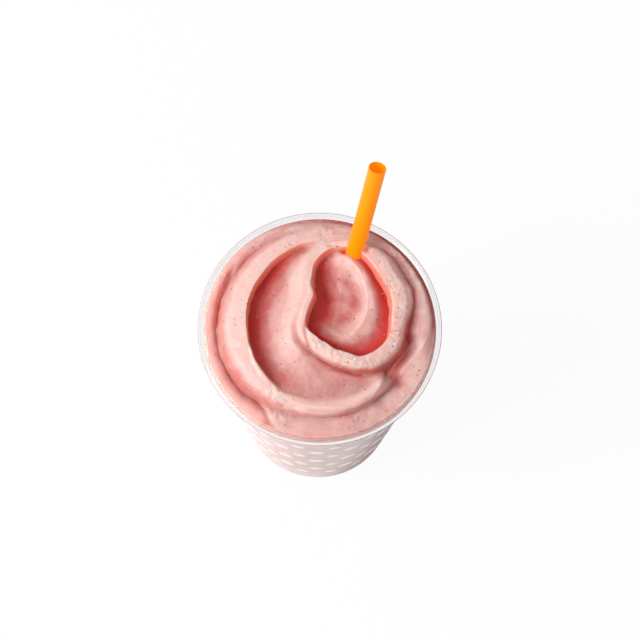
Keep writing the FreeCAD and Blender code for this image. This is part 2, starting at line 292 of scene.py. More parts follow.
# the top of the smoothie is a turn of folds round an eye that lies off the cup's axis
smoothieForm = {
    "fillDrop": 1.2 * mm,           # the filling meets the wall this far below the rim
    "fillStep": 9.0 * mm,           # height of the rows of faces down its side
    "intoWall": 0.2 * mm,
    "swirlHeight": 7.0 * mm,
    "eye": (8.0 * mm, 12.0 * mm),
    "directions": 520,
    # rows of faces from each fold to the next, and how the surface runs between them
    "bands": (
        (4, "soft"), (18, "rising"), (12, "soft"), (18, "steep"), (14, "round"), (14, "late"),
        (7, "soft"), (28, "early"), (17, "steep"), (18, "shoulder"), (15, "shelf"),
    ),
    # reach in % of the mouth's radius and level in % of the swirl's height, in 16 directions from +X
    "folds": (
        ("bowl floor",
         (11, 11, 11, 13, 15, 17, 15, 13, 11, 13, 15, 15, 15, 13, 11, 11),
         (2, 4, 6, 8, 6, -8, -26, -38, -42, -42, -40, -26, -18, -8, -2, 0)),
        ("inner fold",
         (26, 26, 28, 32, 36, 35, 27, 21, 18, 22, 33, 38, 39, 35, 30, 28),
         (47, 55, 61, 61, 57, 13, -14, -24, -30, -26, -16, 8, 24, 32, 38, 42)),
        ("foot of the brim",
         (41, 37, 37, 41, 42, 39, 31, 24, 21, 26, 38, 42, 49, 56, 55, 46),
         (0, 7, 17, 31, 43, 25, -4, -16, -22, -20, -14, -2, 6, 6, 0, 0)),
        ("brim",
         (46, 41, 41, 44, 46, 43, 36, 30, 26, 31, 44, 47, 54, 62, 60, 51),
         (78, 76, 80, 86, 82, 78, 82, 87, 88, 87, 90, 96, 100, 98, 92, 84)),
        ("shoulder of the brim",
         (57, 51, 50, 50, 49, 46, 38, 31, 28, 34, 48, 54, 61, 69, 67, 58),
         (79, 76, 76, 78, 74, 72, 80, 86, 88, 86, 86, 84, 84, 84, 84, 82)),
        ("crease round the brim",
         (65, 60, 59, 53, 52, 49, 43, 34, 30, 37, 52, 59, 66, 74, 73, 65),
         (8, 9, 12, 43, 51, 63, 77, 83, 83, 80, 66, 51, 40, 26, -6, 0)),
        ("edge of the sheet",
         (68, 62, 61, 57, 55, 51, 44, 37, 34, 43, 59, 66, 72, 77, 75, 68),
         (10, 12, 14, 37, 46, 60, 74, 80, 80, 77, 71, 57, 46, 33, -8, 2)),
        ("valley",
         (70, 64, 63, 59, 57, 54, 59, 66, 77, 86, 94, 96, 90, 82, 76, 72),
         (12, 14, 14, 31, 43, 50, 22, -8, -20, -20, -2, 32, 36, 30, -12, 2)),
        ("outer fold",
         (74, 67, 65, 61, 59, 56, 62, 70, 80, 90, 98, 104, 102, 90, 77, 79),
         (16, 16, 14, 23, 34, 56, 63, 69, 71, 69, 63, 54, 50, 42, -24, 4)),
        ("groove by the wall",
         (76, 69, 66, 66, 68, 72, 80, 91, 104, 115, 119, 114, 107, 95, 84, 84),
         (10, 12, 11, 9, 11, 9, -9, -29, -34, -34, -40, -8, -2, -5, -8, 2)),
    ),
    # x and y of a dent or a lump in mm, its radius and its height
    "spots": (
        (31.5, -21.5, 4.0, -1.8), (23.0, -23.0, 3.0, 0.8), (35.5, -4.0, 2.2, -1.0),
        (9.4, 31.2, 1.3, -1.2), (18.2, 31.6, 1.5, -1.6), (-3.2, 17.2, 1.1, 0.7), (-20.0, -40.5, 2.5, -1.0),
        (-6.0, 31.5, 4.0, -0.5),
    ),
    # smaller creases and ridges over the folds: kind, height and width in mm, and a path in mm;
    # a lap stands up on the left of its path and falls sharply on the right, a ledge only falls there
    "creases": (
        ("groove", 1.4, 1.0, ((-33.6, 28.3), (-37.4, 19.4), (-40.5, 9.7), (-40.7, -1.7), (-39.6, -10.9))),
        ("lap", 1.1, 3.5, ((-37.8, -12.0), (-35.5, -17.0), (-32.0, -22.6), (-27.1, -27.9), (-22.4, -32.0),
                           (-18.8, -37.6))),
        ("groove", 1.2, 0.9, ((-27.6, -28.2), (-22.8, -32.6), (-19.4, -38.2), (-18.4, -42.0))),
        ("lap", 1.3, 3.0, ((-7.0, -34.6), (2.9, -35.6), (12.8, -35.2), (19.6, -32.2), (23.8, -27.6),
                           (25.8, -22.6), (25.6, -18.0))),
        ("ledge", 1.8, 4.5, ((20.4, -32.0), (24.0, -27.4), (25.9, -22.4), (25.8, -17.6), (24.0, -14.0))),
        ("groove", 0.9, 0.6, ((-6.0, -35.3), (2.9, -36.3), (12.9, -35.9), (17.4, -34.2))),
        ("lap", 0.8, 2.0, ((-28.2, -3.0), (-27.6, -10.5), (-26.0, -17.0), (-23.0, -22.0), (-18.7, -26.6))),
        ("groove", 0.7, 0.7, ((-17.5, -31.0), (-14.0, -33.6), (-10.5, -34.2), (-7.0, -34.9))),
        ("ridge", 0.7, 1.1, ((-20.2, -26.4), (-15.5, -29.2), (-10.4, -30.4), (-4.0, -30.6))),
        ("groove", 1.1, 0.8, ((-4.6, 3.4), (-5.6, -3.0), (-3.6, -9.6), (1.4, -14.6), (7.0, -17.4))),
        ("groove", 1.0, 0.9, ((7.0, -17.4), (12.4, -19.7), (18.4, -20.9), (24.6, -19.2), (29.4, -14.8),
                              (33.6, -8.6))),
        ("lap", 1.0, 2.6, ((29.4, -14.8), (33.4, -9.4), (35.0, -5.6), (33.4, -3.6), (30.0, -3.6))),
        ("ridge", 1.2, 3.2, ((37.5, 23.0), (40.0, 16.0), (41.0, 8.0), (40.4, 0.0), (41.0, -8.0),
                             (40.6, -18.0))),
        ("ridge", 0.8, 0.8, ((9.0, 29.2), (14.4, 23.4), (18.0, 15.4), (18.6, 6.4), (15.8, -0.4),
                             (9.8, -4.6))),
        ("groove", 0.7, 0.7, ((1.4, 32.4), (5.4, 33.0), (9.6, 32.7))),
        ("groove", 0.9, 1.0, ((26.4, 32.0), (29.6, 25.0), (33.6, 18.0), (36.0, 9.0), (35.4, 2.0))),
        ("ridge", 0.35, 1.2, ((-30.0, 33.0), (-18.0, 40.0), (-4.0, 42.0), (6.0, 39.0))),
    ),
    # rough, frothy places: x, y and radius in mm
    "frothy": (
        (-17.5, -29.0, 6.0), (-13.5, -36.5, 4.5), (31.0, 30.0, 6.0), (36.0, 21.0, 5.0), (9.0, -14.0, 5.0),
        (17.0, -17.5, 5.0), (16.5, -41.0, 5.0), (28.5, 14.0, 4.5), (32.0, 4.0, 4.5), (-20.0, 42.0, 7.0),
        (3.0, 43.5, 7.0), (-3.2, 17.5, 1.6), (0.0, -9.0, 4.0), (30.0, -6.0, 4.5), (-39.0, 22.0, 4.0),
    ),
    "lapEdge": 0.28,                # half the width of a lap's sharp side in mm
    "ledgeEdge": 0.4,
    "streak": 0.09 * mm,            # height of the fine lines that run along the folds
    "streakGap": 1.1 * mm,
    "lump": 0.26 * mm,              # height of the soft unevenness
    "lumpSize": 4.0 * mm,
    "smallLumpSize": 1.6 * mm,
    "froth": 0.85 * mm,             # height of the frothy places
    "domeSize": 2.3 * mm,
    "waver": 0.55 * mm,             # how far the folds' edges stray
    "waverSize": 4.6 * mm,
    "overhang": 0.6 * mm,           # how far a lip leans over the hollow inside it
    "lips": ((4, 1.6 * mm), (9, 1.2 * mm)),     # the brim's and the outer fold's number and lip width
}
# painted shade: a colour value on the fruit, 0 on the palest ridges and 1 in the deepest hollows, where the
# colour is darkened towards deep red as shade would darken it
paintedLightAndShade = {
    "level": 0.46,                  # where a place is as high as what is round it
    "rings": ((3.5 * mm, 0.05), (6.0 * mm, 0.05), (10.0 * mm, 0.04)),   # reach, and change for each mm
    "ringPoints": 8,
    "paintedWallLight": 0.14,                  # painted light: paler beside the clear wall, where light comes in from the side
    "palerFrom": 0.70,              # of the mouth's radius
    "palerOver": 0.12,
    # the painted shade value down the sides and on the bubbles
    "side": 0.36,
    "flat": 0.86,                   # a face whose normal rises more than this isn't steep at all
    "steepOver": 0.5,
}
eyeX, eyeY = smoothieForm["eye"]


def ease(share):
    share = np.clip(share, 0, 1)
    return share * share * (3 - 2 * share)


def aroundTurn(values, angle):  # closed smooth curve through values evenly spaced round a turn
    values = np.asarray(values, float)
    count = len(values)
    place = angle / (2 * math.pi) % 1 * count
    share = place - np.floor(place)
    first = np.floor(place).astype(int)
    before, here, after, beyond = (values[(first + k) % count] for k in (-1, 0, 1, 2))
    leave = (after - before) / 2
    arrive = (beyond - here) / 2
    gap = after - here
    bend = 3 * gap - 2 * leave - arrive + share * (leave + arrive - 2 * gap)
    return here + share * (leave + share * bend)


def foldRings(angle, edgeRadius):  # reach and level of every fold in each direction from the eye
    along = eyeX * np.cos(angle) + eyeY * np.sin(angle)
    wallReach = np.sqrt(along ** 2 - eyeX ** 2 - eyeY ** 2 + edgeRadius ** 2) - along
    floorLevel = np.mean(smoothieForm["folds"][0][2]) / 100 * smoothieForm["swirlHeight"]
    rings = [(0 * angle, 0 * angle + floorLevel)]
    for _, reaches, levels in smoothieForm["folds"]:
        reach = np.maximum(aroundTurn(reaches, angle) / 100 * mouthRadius,
                           rings[-1][0] + mouthRadius / 100)      # never inside the fold before it
        rings.append((reach, aroundTurn(levels, angle) / 100 * smoothieForm["swirlHeight"]))
    rings.append((wallReach, 0 * angle - smoothieForm["fillDrop"]))
    return rings


def addSpots(x, y, level):
    for spotX, spotY, radius, height in smoothieForm["spots"]:
        away = (x / mm - spotX) ** 2 + (y / mm - spotY) ** 2
        level = level + height * mm * np.exp(-away / radius ** 2)
    return level


def swirlLevel(x, y):  # the height of the plain folds and spots above the rim over any point
    reach = np.hypot(x - eyeX, y - eyeY)
    angle = np.arctan2(y - eyeY, x - eyeX)
    rings = foldRings(angle, mouthRadius)
    level = rings[0][1]
    for (lastReach, lastLevel), (nextReach, nextLevel) in zip(rings, rings[1:]):
        level = level + (nextLevel - lastLevel) * ease((reach - lastReach) / (nextReach - lastReach))
    return addSpots(x, y, level)


bandShapes = {           # rise of the surface from one fold to the next, both from 0 to 1
    "soft": ease,
    "late": lambda share: share ** 1.9,
    "rising": lambda share: 0.5 * share ** 1.6 + 0.5 * ease(share),
    "early": lambda share: 1 - (1 - share) ** 2.3,
    "steep": lambda share: 0.35 * share + 0.65 * ease(share),
    "round": lambda share: share ** 1.5,
    "shoulder": lambda share: 0.35 * share + 0.65 * share ** 4,
    "shelf": lambda share: 1 - (1 - share) ** 2.6,
}


def smoothPath(points, steps=12):  # points along a smooth line through the given ones, in metres
    points = np.asarray(points, float) * mm
    before = np.vstack((2 * points[0] - points[1], points, 2 * points[-1] - points[-2]))
    share = np.arange(steps)[:, None] / steps
    path = []
    for a, b, c, d in zip(before, before[1:], before[2:], before[3:]):
        path.append(0.5 * (2 * b + (c - a) * share + (2 * a - 5 * b + 4 * c - d) * share ** 2
                           + (3 * b - a - 3 * c + d) * share ** 3))
    return np.vstack(path + [points[-1:]])


def addCreases(x, y, level):
    place = np.column_stack((x, y))
    for kind, height, width, points in smoothieForm["creases"]:
        path = smoothPath(points)
        reachOut = 3 * width * mm + 1 * mm
        near = ((place > path.min(0) - reachOut) & (place < path.max(0) + reachOut)).all(1)
        away = place[near][:, None, :] - path[None, :, :]
        nearest = (away ** 2).sum(2).argmin(1)
        offset = away[np.arange(len(nearest)), nearest]
        along = np.gradient(path, axis=0)[nearest]
        along /= np.linalg.norm(along, axis=1)[:, None]
        left = (along[:, 0] * offset[:, 1] - along[:, 1] * offset[:, 0]) / mm
        apart = np.hypot(offset[:, 0], offset[:, 1]) / mm
        share = nearest / (len(path) - 1)
        fade = np.clip(4 * share, 0, 1) * np.clip(4 * (1 - share), 0, 1)     # over a quarter at each end
        strength = ease(fade) * height * mm
        side = np.sign(left) * apart
        if kind == "lap":
            lap = 0.5 + 0.5 * np.tanh(side / smoothieForm["lapEdge"])
            change = (lap * np.exp(-np.maximum(side, 0) / width)
                      - 0.6 * (1 - lap) * np.exp(np.minimum(side, 0) / (0.5 * width)))
        elif kind == "ledge":
            drop = 0.5 - 0.5 * np.tanh(side / smoothieForm["ledgeEdge"])
            change = -drop * np.exp(-(np.minimum(side, 0) / width) ** 2)
        else:
            change = np.exp(-(apart / width) ** 2) * (1 if kind == "ridge" else -1)
        level[near] += strength * change
    return level


def layNoise(x, y, scale, seed):  # soft noise over the top, about -1 to 1, its bumps as wide as scale
    return np.array([noise.noise((px / scale, py / scale, seed)) for px, py in zip(x, y)])


def frothAt(x, y):  # 1 in the middle of a frothy place, 0 away from them all
    rough = 0 * x
    for spotX, spotY, radius in smoothieForm["frothy"]:
        away = (x / mm - spotX) ** 2 + (y / mm - spotY) ** 2
        rough = np.maximum(rough, np.exp(-away / radius ** 2))
    return rough


def layDomes(x, y, rough, scale):  # small domes side by side, as froth has, where it is rough
    domes = np.zeros(len(x))
    for i in np.flatnonzero(rough > 0.05):
        apart = noise.voronoi((x[i] / scale, y[i] / scale, 4.0))[0]
        domes[i] = 0.5 - apart[0]
    return domes


def paintedShadingAt(x, y, level):  # the painted shade value: higher, so darker and redder, where the surroundings stand above a point
    count = paintedLightAndShade["ringPoints"]
    total = paintedLightAndShade["level"] + 0 * level
    for radius, weight in paintedLightAndShade["rings"]:
        for turn in range(count):
            angle = turn * 2 * math.pi / count + radius / mm
            aroundX = x + radius * math.cos(angle)
            aroundY = y + radius * math.sin(angle)
            inward = np.minimum(1, 0.97 * mouthRadius / np.hypot(aroundX, aroundY))     # off the wall
            around = swirlLevel(aroundX * inward, aroundY * inward)
            total = total + weight * (around - level) / mm / count
    # painted light: the colour value drops, so the fruit is paler, towards the clear wall
    fromAxis = np.hypot(x, y) / mouthRadius
    nearWall = ease((fromAxis - paintedLightAndShade["palerFrom"]) / paintedLightAndShade["palerOver"])
    return total - paintedLightAndShade["paintedWallLight"] * nearWall


def makeSmoothieTop():
    rowShares = []       # each row's band and how far across it the row lies
    for band, (rows, _) in enumerate(smoothieForm["bands"]):
        rowShares += [(band, row / rows) for row in range(rows)]
    rowShares.append((len(smoothieForm["bands"]) - 1, 1.0))
    rowShares = rowShares[1:]       # the eye itself is closed by a fan later
    bpy.ops.mesh.primitive_grid_add(x_subdivisions=smoothieForm["directions"],
                                    y_subdivisions=len(rowShares) - 1, size=1)
    piece = bpy.context.object
    flat = readPoints(piece)
    angle = (flat[:, 0] + 0.5) * 2 * math.pi
    row = np.rint((flat[:, 1] + 0.5) * (len(rowShares) - 1)).astype(int)
    band = np.array([item[0] for item in rowShares])[row]
    share = np.array([item[1] for item in rowShares])[row]
    rings = foldRings(angle, mouthRadius + smoothieForm["intoWall"])
    reaches = np.array([ring[0] for ring in rings])
    levels = np.array([ring[1] for ring in rings])
    every = np.arange(len(angle))
    reach = reaches[band, every] + (reaches[band + 1, every] - reaches[band, every]) * share
    rise = np.zeros(len(angle))
    for number, (_, shape) in enumerate(smoothieForm["bands"]):
        rise = np.where(band == number, bandShapes[shape](share), rise)
    level = levels[band, every] + (levels[band + 1, every] - levels[band, every]) * rise
    for crest, width in smoothieForm["lips"]:
        height = np.clip((levels[crest] - levels[crest - 1]) / (5 * mm), 0, 1)
        close = np.exp(-((reach - reaches[crest]) / width) ** 2)
        uneven = 1 + 0.5 * layNoise(np.cos(angle), np.sin(angle), 0.35, crest)
        reach = reach - smoothieForm["overhang"] * height * close * uneven
    x = eyeX + reach * np.cos(angle)
    y = eyeY + reach * np.sin(angle)
    # the folds' edges waver a little
    waver = smoothieForm["waver"] * layNoise(x, y, smoothieForm["waverSize"], 5.0)
    waver *= ease(reach / (6 * mm)) * ease((reaches[-1] - reach) / (5 * mm))
    x += waver * np.cos(angle)
    y += waver * np.sin(angle)
    plain = level.copy()
    level = addCreases(x, y, addSpots(x, y, level))
    detail = smoothieForm["lump"] * (layNoise(x, y, smoothieForm["lumpSize"], 3.0)
                                     + 0.5 * layNoise(x, y, smoothieForm["smallLumpSize"], 8.0))
    flow = np.array([noise.noise((r / smoothieForm["streakGap"], 2.2 * math.cos(a), 2.2 * math.sin(a)))
                     for r, a in zip(reach + 1.2 * mm * np.sin(3 * angle), angle)])
    detail += smoothieForm["streak"] * flow * ease(reach / (5 * mm))
    rough = frothAt(x, y)
    detail += smoothieForm["froth"] * rough * layDomes(x, y, rough, smoothieForm["domeSize"])
    # only the plain folds are left where the top meets the wall
    inside = ease((mouthRadius - np.hypot(x, y)) / (1.6 * mm))
    level = plain + inside * (level - plain + detail)
    writePoints(piece, np.column_stack((x, y, rimHeight + level)))
    closeUp(piece)
    return piece


def selectBoundary(piece, test):  # open edges whose middle passes the test; leaves edit mode on
    mesh = piece.data
    bpy.ops.object.mode_set(mode="EDIT")
    bpy.ops.mesh.select_mode(type="EDGE")
    bpy.ops.mesh.select_all(action="DESELECT")
    bpy.ops.mesh.select_non_manifold(extend=False, use_wire=False, use_boundary=True,
                                     use_multi_face=False, use_non_contiguous=False, use_verts=False)
    bpy.ops.object.mode_set(mode="OBJECT")
    for edge in mesh.edges:
        if edge.select:
            middle = (mesh.vertices[edge.vertices[0]].co + mesh.vertices[edge.vertices[1]].co) / 2
            edge.select = test(middle)
    for vertex in mesh.vertices:
        vertex.select = False
    for edge in mesh.edges:
        if edge.select:
            for index in edge.vertices:
                mesh.vertices[index].select = True
    bpy.ops.object.mode_set(mode="EDIT")
    bpy.ops.mesh.select_mode(type="EDGE")


def fillingProfile():  # from the top's edge down the cup's inside to its middle, into the wall a little
    into = smoothieForm["intoWall"]
    wall = cupForm["wall"]
    foot = cupForm["baseRadius"] - cupForm["cornerWidth"]
    inner = foot - cupForm["footWidth"]
    corner = (cupForm["baseRadius"] - wall + into, cupForm["cornerHeight"] + cornerShift)
    taperTop = (taperRadius + into, stepLevel)
    profile = [(mouthRadius + into, rimHeight - smoothieForm["fillDrop"]),
               (mouthRadius + into, stepLevel + cupForm["neckSlope"]), taperTop]
    steps = round((taperTop[1] - corner[1]) / smoothieForm["fillStep"])
    for step in range(1, steps + 1):
        share = step / steps
        profile.append((taperTop[0] + (corner[0] - taperTop[0]) * share,
                        taperTop[1] + (corner[1] - taperTop[1]) * share))
    profile += [(foot - cornerShift + into / 2, wall - into), (inner - into, wall - into)]
    floorLevel = cupForm["puntHeight"] + wall - into
    profile += [(inner - cupForm["puntSlope"] - into, floorLevel), (0, floorLevel)]
    return profile


def makeSmoothie():
    piece = makeSmoothieTop()
    # close the eye
    selectBoundary(piece, lambda middle: math.hypot(middle.x - eyeX, middle.y - eyeY) < 5 * mm)
    bpy.ops.mesh.extrude_edges_move()
    bpy.ops.mesh.merge(type="CENTER")
    bpy.ops.object.mode_set(mode="OBJECT")
    # the side and the bottom
    selectBoundary(piece, lambda middle: math.hypot(middle.x, middle.y) > 0.9 * mouthRadius)
    extrudeRing(fillingProfile())
    bpy.ops.mesh.merge(type="CENTER")
    bpy.ops.object.mode_set(mode="OBJECT")
    closeUp(piece)
    smoothShade(piece, angle=60)
    return piece


def writeAttribute(piece, name, values):
    attribute = piece.data.attributes.new(name, "FLOAT", "POINT")
    attribute.data.foreach_set("value", values.astype(np.float32))


def markTop(piece):  # what the material reads: painted shade in the hollows, painted glow on steep walls that face the eye, and froth
    points = readPoints(piece)
    x, y = points[:, 0], points[:, 1]
    top = points[:, 2] > rimHeight - 5 * mm
    # painted shade from how far the surroundings stand above each point, a fixed value down the sides
    paintedShading = np.where(top, paintedShadingAt(x, y, swirlLevel(x, y)), paintedLightAndShade["side"])
    writeAttribute(piece, "paintedShading", paintedShading)
    facing = np.empty(len(points) * 3, np.float32)
    piece.data.vertices.foreach_get("normal", facing)
    inward = ((eyeX - x) * facing[0::3] + (eyeY - y) * facing[1::3]) / np.hypot(eyeX - x, eyeY - y)
    slope = ease((paintedLightAndShade["flat"] - facing[2::3]) / paintedLightAndShade["steepOver"]) * top
    # painted glow mask: none of it on the palest ridges, and a quarter on walls that face away from the eye
    steep = slope * ease((paintedShading - 0.2) / 0.2) * (0.25 + 0.75 * ease(inward / 0.4))
    writeAttribute(piece, "steep", steep)
    writeAttribute(piece, "froth", frothAt(x, y) * top)


fruitLook = {
    # colour at each painted shade value, from pale pink on the ridges to deep red as painted shade in the
    # hollows; the two ends come first
    "colors": (
        (0.0, (0.87, 0.59, 0.54)),
        (1.0, (0.62, 0.03, 0.025)),
        (0.30, (0.85, 0.57, 0.525)),
        (0.45, (0.71, 0.37, 0.34)),
        (0.58, (0.61, 0.18, 0.165)),
        (0.75, (0.68, 0.07, 0.06)),
    ),
    "mottle": (220.0, 0.06),                # scale, and how far it shifts the colour value
    "paintedGlowColor": (0.97, 0.36, 0.25),       # painted glow: orange-red on steep walls for the light that glows through the fruit there
    "paintedGlowShare": 0.7,
    "speckColor": (0.50, 0.10, 0.06),
    "speckScale": 420.0,
    "speckLimit": 0.72,                     # the share of cells that stay without a speck
    "roughness": (900.0, 0.36, 0.52),       # scale, least and most
    "grainScale": 1400.0,
    "pitScale": 900.0,
    "grainRelief": (0.3, 0.10 * mm),        # strength and height of the grain and the pits
    "bubbleScale": 760.0,
    "bubbleRelief": (0.7, 0.45 * mm),
    "shader": {
        "Subsurface Weight": 1.0,
        "Subsurface Radius": (1.0, 0.16, 0.11),
        "Subsurface Scale": 7.0 * mm,
        "Specular IOR Level": 0.3,
    },
}


def makeFruitMaterial():
    material, tree, shader = newMaterial("blendedFruit")
    place = addNode(tree, "ShaderNodeTexCoord").outputs["Object"]
    paintedShading, steep, froth = (addNode(tree, "ShaderNodeAttribute", attribute_name=name).outputs["Fac"]
                            for name in ("paintedShading", "steep", "froth"))
    scale, shift = fruitLook["mottle"]
    mottle = addGrain(tree, scale, -shift, shift)["Value"]
    # the base colour darkens to deep red with the painted shade
    color = addRamp(tree, addMath(tree, "ADD", paintedShading, mottle), fruitLook["colors"])
    # painted glow: steep walls are mixed towards orange-red
    paintedGlowShare = addMath(tree, "MULTIPLY", steep, fruitLook["paintedGlowShare"])
    color = mixColor(tree, paintedGlowShare, color, fruitLook["paintedGlowColor"])
    specks = addNode(tree, "ShaderNodeTexVoronoi", {"Vector": place, "Scale": fruitLook["speckScale"]})
    rare = addNode(tree, "ShaderNodeSeparateColor", {"Color": specks.outputs["Color"]}).outputs["Red"]
    speckMask = addMath(tree, "MULTIPLY", addFade(tree, specks.outputs["Distance"], 0.10, 0.16, 0.5),
                        addMath(tree, "GREATER_THAN", rare, fruitLook["speckLimit"]))
    color = mixColor(tree, speckMask, color, fruitLook["speckColor"])
    tree.links.new(color, shader.inputs["Base Color"])
    tree.links.new(addGrain(tree, *fruitLook["roughness"])["Value"], shader.inputs["Roughness"])
    setInputs(shader, fruitLook["shader"])
    # a fine grain with pits all over, then small bubbles in the frothy places
    pits = addNode(tree, "ShaderNodeTexVoronoi", {"Vector": place, "Scale": fruitLook["pitScale"]})
    relief = addMath(tree, "ADD", addGrain(tree, fruitLook["grainScale"], 0.0, 1.0)["Grain"],
                     addFade(tree, pits.outputs["Distance"], 0.0, 0.35, -0.6))
    strength, height = fruitLook["grainRelief"]
    bump = addNode(tree, "ShaderNodeBump", {"Strength": strength, "Distance": height, "Height": relief})
    bubbles = addNode(tree, "ShaderNodeTexVoronoi", {"Vector": place, "Scale": fruitLook["bubbleScale"]})
    domes = addMath(tree, "MULTIPLY", addMath(tree, "SUBTRACT", 0.6, bubbles.outputs["Distance"]), froth)
    strength, height = fruitLook["bubbleRelief"]
    bump = addNode(tree, "ShaderNodeBump", {"Strength": strength, "Distance": height, "Height": domes,
                                            "Normal": bump.outputs["Normal"]})
    tree.links.new(bump.outputs["Normal"], shader.inputs["Normal"])
    return material


# the straw's place has to be known before the filling is cut round it
strawForm = {
    "radius": 3.5 * mm,
    "wall": 0.3 * mm,
    "length": 178.0 * mm,
    "inset": 12.85 * mm,            # from the neck's inside to the straw's axis, level with the rim
    "bearing": 66.7,                # of the crossing, in degrees
    "footBearing": 252.0,
    "cornerGap": 2.85 * mm,
    "floorGap": 0.6 * mm,
    "grip": 0.05 * mm,              # the hole in the filling is this much narrower than the straw
    "holeFacets": 64,
    "facets": 96,
    "lengthSteps": 12,
    "lip": 0.08 * mm,               # the broken edge at both ends
}


def atBearing(reach, bearing, level):  # a point this far from the cup's axis
    angle = math.radians(bearing)
    return Vector((reach * math.cos(angle), reach * math.sin(angle), level))


def strawEnds():  # the straw's foot in the bottom corner and its crossing of the rim's level
    level = cupForm["puntHeight"] + cupForm["wall"] + strawForm["floorGap"] + strawForm["radius"] / 2
    base = cupForm["baseRadius"] - cupForm["wall"]
    rise = stepLevel - cupForm["cornerHeight"]
    inside = base + (taperRadius - base) * (level - cupForm["cornerHeight"]) / rise
    footReach = inside - strawForm["radius"] - strawForm["cornerGap"]
    crossingReach = mouthRadius - strawForm["inset"]
    return (atBearing(footReach, strawForm["footBearing"], level),
            atBearing(crossingReach, strawForm["bearing"], rimHeight))


strawFoot, strawCrossing = strawEnds()
strawAxis = (strawCrossing - strawFoot).normalized()
strawPlace = Matrix.Translation(strawFoot) @ strawAxis.to_track_quat("Z", "Y").to_matrix().to_4x4()


def cutRoundStraw(piece):
    startFresh()
    bpy.ops.mesh.primitive_cylinder_add(vertices=strawForm["holeFacets"], depth=strawForm["length"],
                                        radius=strawForm["radius"] - strawForm["grip"])
    cutter = bpy.context.object
    cutter.data.transform(strawPlace @ Matrix.Translation((0, 0, strawForm["length"] / 2)))
    applyModifier(piece, "BOOLEAN", operation="DIFFERENCE", solver="MANIFOLD", object=cutter)
    bpy.data.objects.remove(cutter)


fruitMaterial = makeFruitMaterial()
smoothie = makeSmoothie()
cutRoundStraw(smoothie)
markTop(smoothie)
finishPiece(smoothie, "smoothieSwirl", fruitMaterial, "smoothie")


seedForm = {
    "size": (0.14 * mm, 0.46 * mm),     # radius, least and most
    "shape": (1.35, 0.8, 1.0, 1.0),     # length, width and height for a radius of 1
    "flatness": 0.5,
    "sunk": 0.2,                        # how much of the radius lies below the surface
    "scattered": 190,
    "seed": 14,
    "placed": (                         # the larger ones, x and y in mm
        (-33.8, 19.7), (-13.5, 16.8), (-19.0, 12.7), (-29.2, 7.2), (7.3, 20.1), (6.7, 12.0),
        (-22.3, -14.5), (-15.4, -16.5), (-9.5, -15.9), (11.5, -16.6), (30.4, -16.1), (10.2, -25.0),
        (3.9, -29.0), (-15.5, -28.4), (18.5, -26.7), (-24.9, 34.4), (-24.3, -1.4), (-9.1, 44.4),
        (0.3, 43.4), (27.4, -34.1), (13.6, 3.4), (22.8, 2.8), (4.5, -36.5), (30.4, -3.0),
    ),
}
bubbleForm = {
    "size": (0.20 * mm, 0.46 * mm),
    "flatness": 0.9,
    "sunk": 0.45,
    "inEachPatch": 14,
    "scattered": 90,
    "seed": 5,
}


def surfacePoint(x, y):  # where a plumb line meets the smoothie's top, and which way that faces
    return smoothie.ray_cast(Vector((x, y, rimHeight + 30 * mm)), Vector((0, 0, -1)))[1:3]


def makePebble(subdivisions):
    startFresh()
    bpy.ops.mesh.primitive_ico_sphere_add(subdivisions=subdivisions, radius=1)
    return bpy.context.object


def scatterShapes(pattern, spots, form, rng):
    # copies of a small shape, each turned at random and lying on the surface
    copies = []
    for point, normal, size in spots:
        copy = copyShape(pattern)
        turn = (normal.to_track_quat("Z", "Y").to_matrix().to_4x4()
                @ Matrix.Rotation(rng.uniform(0, 2 * math.pi), 4, "Z"))
        shape = Matrix.Diagonal((size, size * rng.uniform(0.6, 0.95), size * form["flatness"], 1))
        copy.data.transform(Matrix.Translation(point - normal * size * form["sunk"]) @ turn @ shape)
        copies.append(copy)
    bpy.data.objects.remove(pattern)
    piece = joinPieces(copies)
    smoothShade(piece)
    return piece


def makeSeeds():
    rng = random.Random(seedForm["seed"])
    pattern = makePebble(subdivisions=1)
    pattern.data.transform(Matrix.Diagonal(seedForm["shape"]))
    small, large = seedForm["size"]
    spots = [(*surfacePoint(x * mm, y * mm), rng.uniform(0.7, 1.0) * large) for x, y in seedForm["placed"]]
    for _ in range(seedForm["scattered"]):
        reach = 0.96 * mouthRadius * math.sqrt(rng.random())
        angle = rng.uniform(0, 2 * math.pi)
        spots.append((*surfacePoint(reach * math.cos(angle), reach * math.sin(angle)),
                      small + (large - small) * rng.random() ** 3))
    return scatterShapes(pattern, spots, seedForm, rng)


def makeBubbles():
    rng = random.Random(bubbleForm["seed"])
    pattern = makePebble(subdivisions=2)
    writeAttribute(pattern, "paintedShading", np.full(len(pattern.data.vertices), paintedLightAndShade["side"]))
    small, large = bubbleForm["size"]
    centres = [patch for patch in smoothieForm["frothy"] for _ in range(bubbleForm["inEachPatch"])]
    centres += [(0, 0, 0.9 * mouthRadius / mm)] * bubbleForm["scattered"]
    spots = []
    for x, y, radius in centres:
        reach = radius * math.sqrt(rng.random())
        angle = rng.uniform(0, 2 * math.pi)
        place = Vector((x + reach * math.cos(angle), y + reach * math.sin(angle))) * mm
        if place.length < mouthRadius - 1 * mm:
            spots.append((*surfacePoint(*place), small + (large - small) * rng.random() ** 2))
    return scatterShapes(pattern, spots, bubbleForm, rng)


seedLook = {
    "tint": (700.0, evenly, (0.20, 0.045, 0.035), (0.55, 0.14, 0.11)),
    "roughness": (1500.0, evenly, 0.35, 0.6),
}
seedMaterial = makeGrainyMaterial("fruitSeed", seedLook)[0]
finishPiece(makeSeeds(), "fruitSeeds", seedMaterial)
finishPiece(makeBubbles(), "frothBubbles", fruitMaterial)


